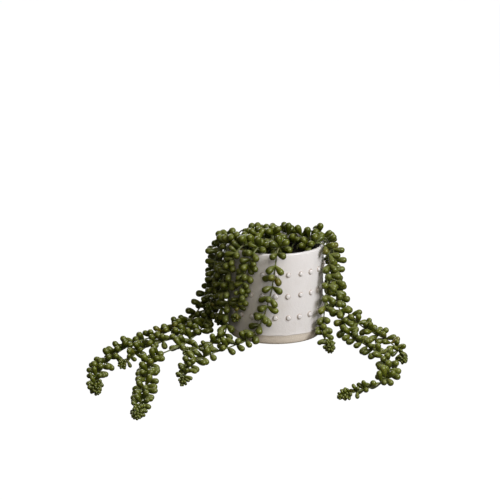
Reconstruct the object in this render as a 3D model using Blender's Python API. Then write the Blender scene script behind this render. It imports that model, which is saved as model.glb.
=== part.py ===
# Potted string of pearls: a white glazed pot with three rows of raised dots, dark soil in it, and leafy
# stems that grow from the soil, cross the rim and hang down the wall. The long ones lie along the surface.
# The origin is the middle of the pot's flat base, +Z is up and the front of the pot faces -Y.

import math
import random

import bmesh
import bpy
import numpy as np
from mathutils import Matrix, Vector

# The pot, as turned on a wheel: nearly straight walls, a soft foot and a rounded lip.
POT_HEIGHT = 0.100
POT_RADIUS = 0.0525  # outside, at the lip
WALL_LEAN = 0.0011  # how much less the radius is low on the wall
FOOT_RADIUS = 0.0475  # of the flat base
WALL = 0.0040
FLOOR = 0.0080
CLAY_BAND = 0.0100  # bare clay below the glaze
POT_SIDES = 44
POT_CREASE = 40  # degrees: edges sharper than this stay hard, on the soil too

# The raised dots
DOT_ROWS = (0.030, 0.0535, 0.077)  # heights of the rows
DOTS_PER_ROW = 24
DOT_RADIUS = 0.0026
DOT_RISE = 0.0017
DOT_SINK = 0.0008  # how far a dot's root goes into the wall
DOT_ROOT = 1.15  # width of the root and of the flat top, as shares of the dot's
DOT_TOP = 0.62
DOT_SIDES = 6

# The soil and the holes that the stems stand in
SOIL_TOP = 0.089
SOIL_GAP = 0.0003
ROOT_DEPTH = 0.009
HOLE_RADIUS = 0.0016
HOLE_SIDES = 5
SOIL_SIDES = 28

# The stems
STEM_RADIUS = 0.0008
STEM_CORNER = 0.0010  # from the middle to a corner of the three-sided tube that is built
CURVE_STEPS = 16  # between two given points of a stem's smooth way
STEM_STEP = 0.002  # between the even points that are then read from it
STEM_SLACK = 0.0004  # how far the built stem may cut a bend
LIE_HEIGHT = 0.0075  # of a stem that lies on the surface, held up by its leaves
LIE_MARGIN = 0.003  # a stem that is no higher than this above that is taken to lie
BARE_ROOT = 0.006  # length of stem above the soil with no leaves

# The leaves: clubs on a short neck, in whorls, smaller towards the tip
LEAF_LENGTH = 0.0134
LEAF_WIDTH = 0.0069
LEAF_SUNK = 0.0005  # how far behind the stem's middle a leaf's root is
LEAF_RINGS = ((0.60, 0.54), (0.95, 0.37))  # (share of the length, share of the width) of its two squares
LEAF_BALLS = ((0.25, 0.34), (0.44, 0.44), (0.62, 0.51), (0.80, 0.49))  # the same, of balls that fill it
WHORL_STEP = 0.0116
WHORL_LEAVES = (3, 4)
LIE_STEP = 1.20  # how much further apart the whorls are where the stem lies
TAPER = 0.065  # the stretch before the tip where the leaves get smaller
TAPER_SCALE = 0.68  # of a leaf at the end of that stretch, against a full one
HANG_LEAN = (45, 90)  # degrees between a leaf and its stem, at least and at most
LIE_LEAN = (48, 92)  # the same where the stem lies
LENGTH_SPREAD = (0.90, 1.08)
WIDTH_SPREAD = (0.92, 1.08)

# The bud cluster at a strand's tip
BUD_STRETCH = 0.0135
BUD_STEP = 0.0024
BUD_WHORL = 6
BUD_SCALE = 0.64  # of the largest buds
BUD_LENGTH = 0.0086  # anything shorter is a bud
BUD_LEAN = (46, 86)  # degrees, at most, at the tip and where the cluster starts
BUD_SPREAD = 26
TIP_SCALE = 0.50  # of the last bud
SPRIG_TIP_SCALE = 0.95  # of the last leaf of a sprig, which has no buds

TRIES = 16  # places tried for a leaf before it is left out
TURN_SPREAD = (10, 8)  # degrees that the first try may stray about the stem, and more for each next one
WHORL_TURN = 20  # the same for a whole whorl
STEP_SPREAD = (0.90, 1.10)
CLEARANCE = 0.0006  # between a leaf and whatever it doesn't grow from
CROWDING = 0.88  # how close two leaves of one stem may come, as a share of touching
BUD_CROWDING = 0.56  # the same for buds
LEAVES_BUILT = 0.29  # share of the leaves, spread evenly along each stem
BUDS_BUILT = 0.20
LEAF_CREASE = 75
SEED = 5  # of every draw in the plant's growth

GLAZE = (0.80, 0.78, 0.79)
SOIL = (0.020, 0.016, 0.013)
LEAF = (0.105, 0.155, 0.028)

# Each strand's way: where it leaves the soil, then polar points (degrees from the front towards +X,
# radius, height) over the rim and down the wall, then points (x, y) along the surface. Some have a bare
# stretch, between two distances from the tip.
STRANDS = {
    "strand_front": {
        "root": (16, 0.015),
        "hang": [(8, 0.037, 0.1035), (2, 0.0530, 0.1055), (0, 0.0595, 0.096), (-2, 0.0600, 0.080),
                 (-4.5, 0.0600, 0.063), (-8.5, 0.0600, 0.047), (-13, 0.0605, 0.032), (-20, 0.0620, 0.018)],
        "lie": [(-0.034, -0.064), (-0.051, -0.085), (-0.067, -0.104), (-0.079, -0.122), (-0.088, -0.142),
                (-0.092, -0.167), (-0.094, -0.191)],
    },
    "strand_front_left": {
        "root": (-20, 0.026),
        "hang": [(-22, 0.041, 0.1030), (-23, 0.0535, 0.1045), (-27, 0.0600, 0.094), (-32, 0.0605, 0.080),
                 (-36, 0.0605, 0.065), (-39, 0.0605, 0.050), (-42, 0.0605, 0.037), (-44, 0.0610, 0.028)],
        "lie": [],
    },
    "strand_left_near": {
        "root": (-34, 0.018),
        "hang": [(-40, 0.041, 0.1045), (-42, 0.0540, 0.1055), (-46, 0.0610, 0.095), (-50, 0.0630, 0.080),
                 (-52, 0.0630, 0.062), (-53, 0.0630, 0.045), (-54, 0.0635, 0.030), (-53, 0.0660, 0.015)],
        "lie": [(-0.056, -0.050), (-0.064, -0.066), (-0.073, -0.079), (-0.084, -0.090), (-0.093, -0.103)],
    },
    "strand_left_short": {
        "root": (-62, 0.031),
        "hang": [(-62, 0.043, 0.1030), (-63, 0.0535, 0.1040), (-64, 0.0600, 0.094), (-66, 0.0610, 0.078),
                 (-67, 0.0610, 0.060), (-68, 0.0610, 0.043), (-70, 0.0620, 0.028), (-72, 0.0640, 0.017)],
        "lie": [],
    },
    "strand_left_outer": {
        "root": (-60, 0.012),
        "hang": [(-66, 0.040, 0.1030), (-72, 0.0535, 0.1035), (-75, 0.0635, 0.095), (-78, 0.0665, 0.080),
                 (-80, 0.0680, 0.062), (-81, 0.0695, 0.044), (-80, 0.0725, 0.028)],
        "lie": [],
    },
    "strand_left_long": {
        "root": (-84, 0.024),
        "hang": [(-86, 0.040, 0.1020), (-89, 0.0535, 0.1030), (-92, 0.0605, 0.094), (-94, 0.0640, 0.078),
                 (-95, 0.0655, 0.056), (-92, 0.0685, 0.034), (-85, 0.0755, 0.015)],
        "lie": [(-0.083, -0.033), (-0.091, -0.056), (-0.099, -0.077), (-0.111, -0.093), (-0.124, -0.114),
                (-0.130, -0.141), (-0.130, -0.175), (-0.130, -0.213), (-0.131, -0.252), (-0.134, -0.291)],
        "bare": (0.184, 0.212),
    },
    "strand_left_middle": {
        "root": (-104, 0.033),
        "hang": [(-104, 0.044, 0.1020), (-105, 0.0535, 0.1030), (-107, 0.0595, 0.094), (-109, 0.0615, 0.076),
                 (-109, 0.0640, 0.054), (-105, 0.0700, 0.032), (-99, 0.0790, 0.014)],
        "lie": [(-0.089, -0.016), (-0.098, -0.036), (-0.110, -0.053), (-0.125, -0.067), (-0.139, -0.087),
                (-0.149, -0.114), (-0.157, -0.141)],
        "bare": (0.266, 0.286),
    },
    "strand_left_far": {
        "root": (-118, 0.024),
        "hang": [(-118, 0.041, 0.1018), (-120, 0.0535, 0.1026), (-119, 0.0600, 0.094), (-117, 0.0635, 0.079),
                 (-114, 0.0710, 0.058), (-110, 0.0780, 0.036), (-104, 0.0870, 0.017)],
        "lie": [(-0.096, 0.006), (-0.109, -0.018), (-0.126, -0.041), (-0.145, -0.062), (-0.161, -0.092),
                (-0.171, -0.121), (-0.179, -0.156), (-0.181, -0.190), (-0.177, -0.221)],
        "bare": (0.366, 0.384),
    },
    "strand_right_near": {
        "root": (69, 0.036),
        "hang": [(68, 0.0440, 0.1020), (68, 0.0535, 0.1032), (70, 0.0600, 0.095), (71, 0.0610, 0.079),
                 (67, 0.0605, 0.062), (62, 0.0605, 0.044), (60, 0.0600, 0.027), (58, 0.0610, 0.013)],
        "lie": [(0.052, -0.050), (0.054, -0.069), (0.057, -0.087)],
    },
    "strand_right_long": {
        "root": (86, 0.034),
        "hang": [(85, 0.0435, 0.1020), (84, 0.0535, 0.1032), (84, 0.0615, 0.095), (86, 0.0640, 0.078),
                 (86, 0.0650, 0.058), (81, 0.0680, 0.036), (73, 0.0780, 0.015)],
        "lie": [(0.081, -0.046), (0.091, -0.067), (0.101, -0.091), (0.110, -0.114), (0.1135, -0.143),
                (0.111, -0.173), (0.101, -0.199), (0.084, -0.217), (0.061, -0.235)],
    },
    "strand_right_short": {
        "root": (98, 0.035),
        "hang": [(98, 0.044, 0.1020), (98, 0.0535, 0.1032), (99, 0.0600, 0.095), (101, 0.0615, 0.084),
                 (102, 0.0620, 0.072)],
        "lie": [],
    },
    "strand_right_far": {
        "root": (114, 0.027),
        "hang": [(114, 0.042, 0.1020), (114, 0.0535, 0.1032), (113, 0.0605, 0.094), (111, 0.0630, 0.080),
                 (108, 0.0650, 0.058), (102, 0.0700, 0.036), (93, 0.0810, 0.017)],
        "lie": [(0.096, -0.013), (0.107, -0.035), (0.117, -0.056), (0.126, -0.086), (0.130, -0.123)],
    },
    "strand_back_right": {
        "root": (128, 0.031),
        "hang": [(130, 0.043, 0.1020), (131, 0.0535, 0.1030), (133, 0.0605, 0.094), (135, 0.0620, 0.077),
                 (136, 0.0620, 0.056), (137, 0.0635, 0.036), (137, 0.0690, 0.018)],
        "lie": [(0.052, 0.062), (0.056, 0.078)],
        "bare": (0.118, 0.136),
    },
    "strand_back_middle": {
        "root": (160, 0.028),
        "hang": [(160, 0.042, 0.1016), (161, 0.0535, 0.1028), (163, 0.0605, 0.094), (165, 0.0615, 0.076),
                 (167, 0.0615, 0.058), (169, 0.0610, 0.042), (171, 0.0610, 0.029)],
        "lie": [],
        "bare": (0.068, 0.088),
    },
    "strand_back_far": {
        "root": (190, 0.030),
        "hang": [(191, 0.043, 0.1016), (192, 0.0535, 0.1028), (194, 0.0610, 0.094), (196, 0.0630, 0.076),
                 (198, 0.0635, 0.056), (200, 0.0645, 0.037), (203, 0.0690, 0.018)],
        "lie": [(-0.034, 0.078), (-0.044, 0.096)],
        "bare": (0.122, 0.138),
    },
    "strand_back_left": {
        "root": (222, 0.030),
        "hang": [(222, 0.043, 0.1016), (222, 0.0535, 0.1028), (224, 0.0605, 0.094), (226, 0.0620, 0.077),
                 (225, 0.0615, 0.060), (225, 0.0610, 0.046), (226, 0.0610, 0.035)],
        "lie": [],
        "bare": (0.062, 0.080),
    },
}

# Short upright sprigs that fill the mouth: (degrees, radius) of the root, then of the top, and its height
SPRIGS = {
    "sprig_middle": ((-150, 0.004), (-160, 0.008), 0.106),
    "sprig_front": ((-20, 0.016), (-14, 0.026), 0.101),
    "sprig_right": ((128, 0.024), (122, 0.035), 0.103),
    "sprig_back_right": ((150, 0.017), (149, 0.029), 0.103),
    "sprig_back": ((184, 0.011), (180, 0.020), 0.103),
    "sprig_back_left": ((222, 0.013), (218, 0.025), 0.103),
    "sprig_left": ((-96, 0.009), (-92, 0.020), 0.106),
}


def polar(degrees, radius, height):
    """A point by its angle from the front (-Y) towards +X."""
    angle = math.radians(degrees)
    return (radius * math.sin(angle), -radius * math.cos(angle), height)


def rooted(degrees, radius):
    """The upright start of a stem, from the bottom of its hole to just above the soil."""
    return [polar(degrees, radius, SOIL_TOP + rise) for rise in (-ROOT_DEPTH, -ROOT_DEPTH / 2, 0.0, 0.003)]


def strand_points(strand):
    points = rooted(*strand["root"])
    points += [polar(*place) for place in strand["hang"]]
    return points + [(x, y, LIE_HEIGHT) for x, y in strand["lie"]]


def sprig_points(root, top, height):
    low = rooted(*root)
    end = polar(*top, height)
    halfway = [(a + b) / 2 for a, b in zip(low[-1], end)]
    return low + [(halfway[0], halfway[1], halfway[2] + 0.001), end]


def stem_way(points):
    """Even points along a smooth curve through the given ones, no lower than a stem can lie."""
    given = np.array(points)
    ends = np.vstack([2 * given[0] - given[1], given, 2 * given[-1] - given[-2]])
    fine = []
    for before, start, stop, after in zip(ends, ends[1:], ends[2:], ends[3:]):
        for t in np.linspace(0, 1, CURVE_STEPS, endpoint=False):
            fine.append(0.5 * (2 * start + (stop - before) * t
                               + (2 * before - 5 * start + 4 * stop - after) * t ** 2
                               + (3 * start - before - 3 * stop + after) * t ** 3))
    fine = np.array(fine + [given[-1]])
    fine[:, 2] = np.maximum(fine[:, 2], LIE_HEIGHT)
    along = np.concatenate([[0], np.cumsum(np.linalg.norm(np.diff(fine, axis=0), axis=1))])
    even = np.linspace(0, along[-1], round(along[-1] / STEM_STEP) + 1)
    return np.stack([np.interp(even, along, fine[:, axis]) for axis in range(3)], axis=1)


def place_on(way, along):
    """(point, direction) at a distance along a stem."""
    lengths = np.linalg.norm(np.diff(way, axis=0), axis=1)
    passed = np.concatenate([[0], np.cumsum(lengths)])
    piece = int(min(np.searchsorted(passed, along, side="right") - 1, len(lengths) - 1))
    direction = (way[piece + 1] - way[piece]) / lengths[piece]
    return way[piece] + direction * (along - passed[piece]), direction


def leaf_balls(leaf):
    """Balls that fill a leaf, for telling what it would touch: (centres, radii)."""
    base, direction, length, width = leaf
    shares, sizes = np.array(LEAF_BALLS).T
    return base + np.outer(shares * length, direction), sizes * width


def clear_of_pot(centres, radii):
    """Whether the balls keep off the pot's wall, the soil and the surface that the pot stands on."""
    out = np.hypot(centres[:, 0], centres[:, 1])
    low = centres[:, 2] - radii
    inside = out + radii < POT_RADIUS - WALL - CLEARANCE
    outside = out - radii > POT_RADIUS + DOT_RISE + CLEARANCE
    above_rim = low > POT_HEIGHT + CLEARANCE
    above_soil = (low > SOIL_TOP + CLEARANCE) | (out > POT_RADIUS)
    return bool(((inside | outside | above_rim) & above_soil & (low > CLEARANCE)).all())


class Space:
    """What is already there: balls along every stem and in every leaf, each with its owner's number."""

    def __init__(self):
        self.centres = np.zeros((0, 3))
        self.radii = np.zeros(0)
        self.owners = np.zeros(0, int)

    def add(self, centres, radii, owner):
        self.centres = np.vstack([self.centres, centres])
        self.radii = np.concatenate([self.radii, radii])
        self.owners = np.concatenate([self.owners, np.full(len(radii), owner)])

    def admits(self, centres, radii, owner, crowding):
        """Whether balls keep clear of other stems' balls, and all but the first nearly so of their own."""
        own = self.owners == owner
        for number, (centre, radius) in enumerate(zip(centres, radii)):
            apart = np.linalg.norm(self.centres - centre, axis=1)
            reach = self.radii + radius
            own_reach = reach * (crowding if number else 0.0)
            if (apart < np.where(own, own_reach, reach + CLEARANCE)).any():
                return False
        return True


def leaf_scale(to_end, budding):
    """The size of a leaf by how far it is from the tip, against a full one."""
    if budding:
        return TIP_SCALE + (BUD_SCALE - TIP_SCALE) * to_end / BUD_STRETCH
    return min(1.0, TAPER_SCALE + (1 - TAPER_SCALE) * (to_end - BUD_STRETCH) / (TAPER - BUD_STRETCH))


def leaves_of(way, bare, has_buds, owner, space, draw):
    """Places the leaves of one stem: a list of (base, direction, length, width)."""
    total = np.linalg.norm(np.diff(way, axis=0), axis=1).sum()
    along = ROOT_DEPTH + BARE_ROOT
    turn = draw.uniform(0, 360)
    leaves = []
    while along < total:
        to_end = total - along
        if bare[0] < to_end < bare[1]:
            along += WHORL_STEP
            continue
        budding = has_buds and to_end < BUD_STRETCH
        scale = leaf_scale(to_end, budding) if has_buds else 1.0
        base, forward = place_on(way, along)
        side = np.cross(forward, (0.0, 0.0, 1.0) if abs(forward[2]) < 0.9 else (0.0, 1.0, 0.0))
        side /= np.linalg.norm(side)
        up = np.cross(side, forward)
        count = BUD_WHORL if budding else draw.choice(WHORL_LEAVES)
        lying = base[2] < LIE_HEIGHT + LIE_MARGIN
        least, most = LIE_LEAN if lying else HANG_LEAN
        if budding:
            most = BUD_LEAN[0] + (BUD_LEAN[1] - BUD_LEAN[0]) * to_end / BUD_STRETCH
            least = most - BUD_SPREAD
        crowding = BUD_CROWDING if budding else CROWDING
        for number in range(count):
            for attempt in range(TRIES):
                stray = TURN_SPREAD[0] + TURN_SPREAD[1] * attempt
                azimuth = math.radians(turn + number * 360 / count + draw.uniform(-stray, stray))
                lean = math.radians(draw.uniform(least, most))
                length = LEAF_LENGTH * scale * draw.uniform(*LENGTH_SPREAD)
                width = LEAF_WIDTH * scale * draw.uniform(*WIDTH_SPREAD)
                outward = math.cos(azimuth) * side + math.sin(azimuth) * up
                leaf = (base, math.cos(lean) * forward + math.sin(lean) * outward, length, width)
                centres, radii = leaf_balls(leaf)
                if clear_of_pot(centres, radii) and space.admits(centres, radii, owner, crowding):
                    space.add(centres[1:], radii[1:], owner)
                    leaves.append(leaf)
                    break
        turn += 180 / count + draw.uniform(-WHORL_TURN, WHORL_TURN)
        step = WHORL_STEP * scale * (LIE_STEP if lying else 1.0)
        along += draw.uniform(*STEP_SPREAD) * (BUD_STEP if budding else step)
    base, forward = place_on(way, total - STEM_RADIUS)
    scale = TIP_SCALE if has_buds else SPRIG_TIP_SCALE
    leaves.append((base, forward, LEAF_LENGTH * scale, LEAF_WIDTH * scale))
    return leaves


def plan_plant():
    """Every stem's points and every leaf's place: {name: (way, leaves)}."""
    ways = {name: stem_way(strand_points(strand)) for name, strand in STRANDS.items()}
    ways.update({name: stem_way(sprig_points(*sprig)) for name, sprig in SPRIGS.items()})
    space = Space()
    for owner, way in enumerate(ways.values()):
        space.add(way, np.full(len(way), STEM_RADIUS), owner)
    draw = random.Random(SEED)
    plant = {}
    for owner, (name, way) in enumerate(ways.items()):
        bare = STRANDS.get(name, {}).get("bare", (0.0, 0.0))
        plant[name] = (way, leaves_of(way, bare, name in STRANDS, owner, space, draw))
    return plant


def built_share(leaves):
    """The leaves that are built: an even share of each size, and those that reach furthest each way."""
    kept = {len(leaves) - 1}
    for buds, share in ((False, LEAVES_BUILT), (True, BUDS_BUILT)):
        alike = [number for number, leaf in enumerate(leaves) if (leaf[2] < BUD_LENGTH) == buds]
        kept.update(alike[int(step / share)] for step in range(int(len(alike) * share)))
    ends = np.array([base + direction * length for base, direction, length, _ in leaves])
    kept.update(ends.argmax(axis=0).tolist() + ends.argmin(axis=0).tolist())
    return [leaves[number] for number in sorted(kept)]


def thinned(way):
    """As few of a way's points as keep the stem within STEM_SLACK of it."""
    kept = [0]
    while kept[-1] < len(way) - 1:
        stop = kept[-1] + 1
        while stop + 1 < len(way):
            passed = way[kept[-1]:stop + 2] - way[kept[-1]]
            chord = passed[-1] / np.linalg.norm(passed[-1])
            off = passed - np.outer(passed @ chord, chord)
            if np.linalg.norm(off, axis=1).max() > STEM_SLACK:
                break
            stop += 1
        kept.append(stop)
    return way[kept]


def material(name, colour, roughness):
    made = bpy.data.materials.new(name)
    made.use_nodes = True
    shader = made.node_tree.nodes["Principled BSDF"]
    shader.inputs["Base Color"].default_value = (*colour, 1.0)
    shader.inputs["Roughness"].default_value = roughness
    shader.inputs["Metallic"].default_value = 0.0
    return made


def add_object(name, mesh, finish=None):
    made = bpy.data.objects.new(name, mesh)
    bpy.context.scene.collection.objects.link(made)
    if finish:
        mesh.materials.append(finish)
    return made


def turned(name, profile, sides):
    """A closed mesh spun about the Z axis from (radius, height) points, flat where it ends off the axis."""
    shape = bmesh.new()
    line = [shape.verts.new((radius, 0.0, height)) for radius, height in profile]
    edges = [shape.edges.new(pair) for pair in zip(line, line[1:])]
    bmesh.ops.spin(shape, geom=line + edges, cent=(0, 0, 0), axis=(0, 0, 1), angle=math.tau,
                   steps=sides, use_merge=True)
    bmesh.ops.remove_doubles(shape, verts=shape.verts, dist=1e-6)
    bmesh.ops.holes_fill(shape, edges=[edge for edge in shape.edges if edge.is_boundary])
    bmesh.ops.recalc_face_normals(shape, faces=shape.faces)
    mesh = bpy.data.meshes.new(name)
    shape.to_mesh(mesh)
    shape.free()
    return mesh


def joined(base, others, operation="UNION"):
    """Applies one Boolean of a collection of objects to the base, and removes those objects."""
    group = bpy.data.collections.new(base.name + "_others")
    for other in others:
        group.objects.link(other)
    step = base.modifiers.new("Join", "BOOLEAN")
    step.operation = operation
    step.operand_type = "COLLECTION"
    step.collection = group
    graph = bpy.context.evaluated_depsgraph_get()
    result = bpy.data.meshes.new_from_object(base.evaluated_get(graph))
    base.modifiers.clear()
    base.data = result
    for other in others:
        bpy.data.objects.remove(other)
    bpy.data.collections.remove(group)


def build_pot(finish):
    """The turned body with its dots joined on."""
    inner = POT_RADIUS - WALL
    profile = [
        (FOOT_RADIUS, 0.0), (FOOT_RADIUS + 0.0022, 0.0010), (POT_RADIUS - 0.0018, 0.0036),
        (POT_RADIUS - 0.0015, CLAY_BAND), (POT_RADIUS - WALL_LEAN, CLAY_BAND + 0.0006),
        (POT_RADIUS, POT_HEIGHT - 0.004), (POT_RADIUS - 0.0004, POT_HEIGHT - 0.0011),
        (POT_RADIUS - 0.0014, POT_HEIGHT), (inner + 0.0010, POT_HEIGHT - 0.0002),
        (inner, POT_HEIGHT - 0.0030), (inner - 0.0010, FLOOR + 0.006), (inner - 0.006, FLOOR),
    ]
    pot = add_object("pot", turned("pot", profile, POT_SIDES), finish)
    dome = turned("dot", [(DOT_RADIUS * DOT_ROOT, -DOT_SINK), (DOT_RADIUS * DOT_TOP, DOT_RISE)], DOT_SIDES)
    dots = []
    for row, height in enumerate(DOT_ROWS):
        out = POT_RADIUS - WALL_LEAN * (POT_HEIGHT - height) / (POT_HEIGHT - CLAY_BAND)
        for number in range(DOTS_PER_ROW):
            dot = add_object(f"dot_{row}_{number}", dome)
            place = polar(number * 360 / DOTS_PER_ROW, out, height)
            outward = Vector((place[0], place[1], 0.0)).to_track_quat("Z", "Y")
            dot.matrix_world = Matrix.Translation(place) @ outward.to_matrix().to_4x4()
            dots.append(dot)
    joined(pot, dots)
    pot.data.shade_smooth()
    pot.data.set_sharp_from_angle(angle=math.radians(POT_CREASE))


def build_soil(ways, finish):
    """The soil, a plug that fills the pot, with a plain hole for each stem."""
    inner = POT_RADIUS - WALL - SOIL_GAP
    profile = [(inner - 0.0068, FLOOR + SOIL_GAP), (inner - 0.0018, FLOOR + 0.007),
               (inner - 0.0003, SOIL_TOP - 0.002), (inner - 0.0020, SOIL_TOP)]
    soil = add_object("soil", turned("soil", profile, SOIL_SIDES), finish)
    drill = turned("hole", [(HOLE_RADIUS, -ROOT_DEPTH - 0.001), (HOLE_RADIUS, 0.002)], HOLE_SIDES)
    holes = []
    for way in ways:
        hole = add_object("hole", drill)
        hole.matrix_world = Matrix.Translation((way[0][0], way[0][1], SOIL_TOP))
        holes.append(hole)
    joined(soil, holes, "DIFFERENCE")
    soil.data.shade_smooth()
    soil.data.set_sharp_from_angle(angle=math.radians(POT_CREASE))


def leaf_mesh():
    """A club of unit length and width along +Z: a point, a square and a square turned by 45 degrees."""
    shape = bmesh.new()
    shape.verts.new((0.0, 0.0, 0.0))
    for number, (at, radius) in enumerate(LEAF_RINGS):
        for corner in range(4):
            angle = math.radians(90 * corner + 45 * number)
            shape.verts.new((radius * math.cos(angle), radius * math.sin(angle), at))
    bmesh.ops.convex_hull(shape, input=shape.verts)
    mesh = bpy.data.meshes.new("leaf")
    shape.to_mesh(mesh)
    shape.free()
    return mesh


def add_line(name, points, closed):
    """A curve object of straight lines through the points."""
    curve = bpy.data.curves.new(name, "CURVE")
    curve.dimensions = "3D"
    spline = curve.splines.new("POLY")
    spline.points.add(len(points) - 1)
    for point, place in zip(spline.points, points):
        point.co = (*place, 1.0)
    spline.use_cyclic_u = closed
    return add_object(name, curve)


def stem_mesh(way):
    """A three-sided tube along a way, closed at its ends."""
    corners = [polar(120 * number, STEM_CORNER, 0.0) for number in range(3)]
    section = add_line("section", corners, True)
    guide = add_line("guide", thinned(way), False)
    guide.data.bevel_mode = "OBJECT"
    guide.data.bevel_object = section
    guide.data.use_fill_caps = True
    bpy.context.view_layer.update()
    mesh = bpy.data.meshes.new_from_object(guide.evaluated_get(bpy.context.evaluated_depsgraph_get()))
    bpy.data.objects.remove(guide)
    bpy.data.objects.remove(section)
    shape = bmesh.new()
    shape.from_mesh(mesh)
    bmesh.ops.remove_doubles(shape, verts=shape.verts, dist=1e-6)
    bmesh.ops.recalc_face_normals(shape, faces=shape.faces)
    shape.to_mesh(mesh)
    shape.free()
    return mesh


def build_strand(name, way, leaves, club, finish):
    """One leafy stem in one solid: the tube with its leaves joined on."""
    strand = add_object(name, stem_mesh(way), finish)
    others = []
    for number, (base, direction, length, width) in enumerate(built_share(leaves)):
        leaf = add_object(f"leaf_{number}", club)
        turn = Vector(direction).to_track_quat("Z", "Y").to_matrix().to_4x4()
        root = Vector(base - LEAF_SUNK * direction)
        leaf.matrix_world = Matrix.Translation(root) @ turn @ Matrix.Diagonal((width, width, length, 1.0))
        others.append(leaf)
    joined(strand, others)
    strand.data.shade_smooth()
    strand.data.set_sharp_from_angle(angle=math.radians(LEAF_CREASE))


def main():
    for old in list(bpy.data.objects):
        bpy.data.objects.remove(old)
    glaze = material("glaze", GLAZE, 0.30)
    earth = material("soil", SOIL, 0.95)
    green = material("leaf", LEAF, 0.45)
    plant = plan_plant()
    build_pot(glaze)
    build_soil([way for way, _ in plant.values()], earth)
    club = leaf_mesh()
    for name, (way, leaves) in plant.items():
        build_strand(name, way, leaves, club, green)


main()
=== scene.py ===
import math
import random

import bmesh
import bpy
import numpy as np
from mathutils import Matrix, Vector, noise


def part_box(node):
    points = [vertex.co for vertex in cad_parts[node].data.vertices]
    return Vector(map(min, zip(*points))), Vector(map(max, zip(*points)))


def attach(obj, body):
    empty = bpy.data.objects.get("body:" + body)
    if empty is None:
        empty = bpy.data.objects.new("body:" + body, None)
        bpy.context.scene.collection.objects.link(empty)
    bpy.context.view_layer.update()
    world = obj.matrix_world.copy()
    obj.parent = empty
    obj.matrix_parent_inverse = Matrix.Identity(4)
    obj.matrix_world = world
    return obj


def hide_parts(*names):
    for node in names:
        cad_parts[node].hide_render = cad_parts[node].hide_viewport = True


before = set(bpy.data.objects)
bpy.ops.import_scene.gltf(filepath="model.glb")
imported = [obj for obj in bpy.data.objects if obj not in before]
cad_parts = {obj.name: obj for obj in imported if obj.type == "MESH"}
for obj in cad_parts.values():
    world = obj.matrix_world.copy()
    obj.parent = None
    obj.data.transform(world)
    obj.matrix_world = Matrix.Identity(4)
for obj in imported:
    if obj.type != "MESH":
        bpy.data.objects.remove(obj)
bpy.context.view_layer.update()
print("frame:", len(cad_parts), "nodes")


# Camera: the photo looks slightly down on the pot from far away

cameraView = {
    "aim": (-0.0273, 0.0, 0.091),
    "distance": 2.0,
    "downTilt": 14.8,  # degrees
    "lens": 133.6,  # mm
}


def placeCamera():
    tilt = math.radians(cameraView["downTilt"])
    looking = Vector((0, math.cos(tilt), -math.sin(tilt)))
    camera = bpy.data.objects.new("camera", bpy.data.cameras.new("camera"))
    camera.data.lens = cameraView["lens"]
    camera.location = Vector(cameraView["aim"]) - looking * cameraView["distance"]
    camera.rotation_euler = looking.to_track_quat("-Z", "Y").to_euler()
    bpy.context.scene.collection.objects.link(camera)
    bpy.context.scene.camera = camera


placeCamera()
print("camera placed")


# Shared helpers

def startMaterial(name):
    made = bpy.data.materials.new(name)
    made.use_nodes = True
    return made, made.node_tree, made.node_tree.nodes["Principled BSDF"]


def addNode(tree, kind, inputs=None, **settings):
    node = tree.nodes.new(kind)
    for setting, value in settings.items():
        setattr(node, setting, value)
    for socket, value in (inputs or {}).items():
        if isinstance(value, bpy.types.NodeSocket):
            tree.links.new(value, node.inputs[socket])
        else:
            node.inputs[socket].default_value = value
    return node


def colourRamp(tree, factor, stops):
    ramp = addNode(tree, "ShaderNodeValToRGB", {"Fac": factor})
    while len(ramp.color_ramp.elements) < len(stops):
        ramp.color_ramp.elements.new(1.0)
    for element, (place, colour) in zip(ramp.color_ramp.elements, stops):
        element.position = place
        element.color = (*colour, 1.0)
    return ramp.outputs["Color"]


def fromTo(tree, value, low, high, outLow=0.0, outHigh=1.0):
    # a smooth rise from outLow to outHigh while the value goes from low to high
    node = addNode(tree, "ShaderNodeMapRange", {"Value": value, "From Min": low, "From Max": high,
                                                "To Min": outLow, "To Max": outHigh},
                   interpolation_type="SMOOTHSTEP")
    return node.outputs["Result"]


def mixColours(tree, factor, first, second, blend="MIX"):
    node = addNode(tree, "ShaderNodeMix", data_type="RGBA", blend_type=blend)
    for socket, value in ((node.inputs["Factor"], factor), (node.inputs[6], first), (node.inputs[7], second)):
        if isinstance(value, bpy.types.NodeSocket):
            tree.links.new(value, socket)
        elif isinstance(value, tuple):
            socket.default_value = (*value, 1.0)
        else:
            socket.default_value = value
    return node.outputs[2]


def noiseIn(tree, place, scale, detail, roughness):
    node = addNode(tree, "ShaderNodeTexNoise", {"Vector": place, "Scale": scale, "Detail": detail,
                                                "Roughness": roughness})
    return node.outputs["Fac"]


def objectPlace(tree):
    return addNode(tree, "ShaderNodeTexCoord").outputs["Object"]


def bumpFrom(tree, shader, height, strength, distance):
    bump = addNode(tree, "ShaderNodeBump", {"Height": height, "Strength": strength, "Distance": distance})
    tree.links.new(bump.outputs["Normal"], shader.inputs["Normal"])


def makePiece(name, points, faces, materials, faceMaterials=None, marks=None):
    mesh = bpy.data.meshes.new(name)
    mesh.from_pydata(points, [], faces)
    for material in materials:
        mesh.materials.append(material)
    if faceMaterials is not None:
        mesh.polygons.foreach_set("material_index", faceMaterials)
    for mark, values in (marks or {}).items():
        mesh.attributes.new(mark, "FLOAT", "POINT").data.foreach_set("value", values)
    mesh.shade_smooth()
    piece = bpy.data.objects.new(name, mesh)
    bpy.context.scene.collection.objects.link(piece)
    return piece


def ringFaces(rings, sides):
    # quads between rings of points that are stored one ring after another
    faces = []
    for low in range(0, (rings - 1) * sides, sides):
        high = low + sides
        for side in range(sides):
            after = (side + 1) % sides
            faces.append((low + side, low + after, high + after, high + side))
    return faces


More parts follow.
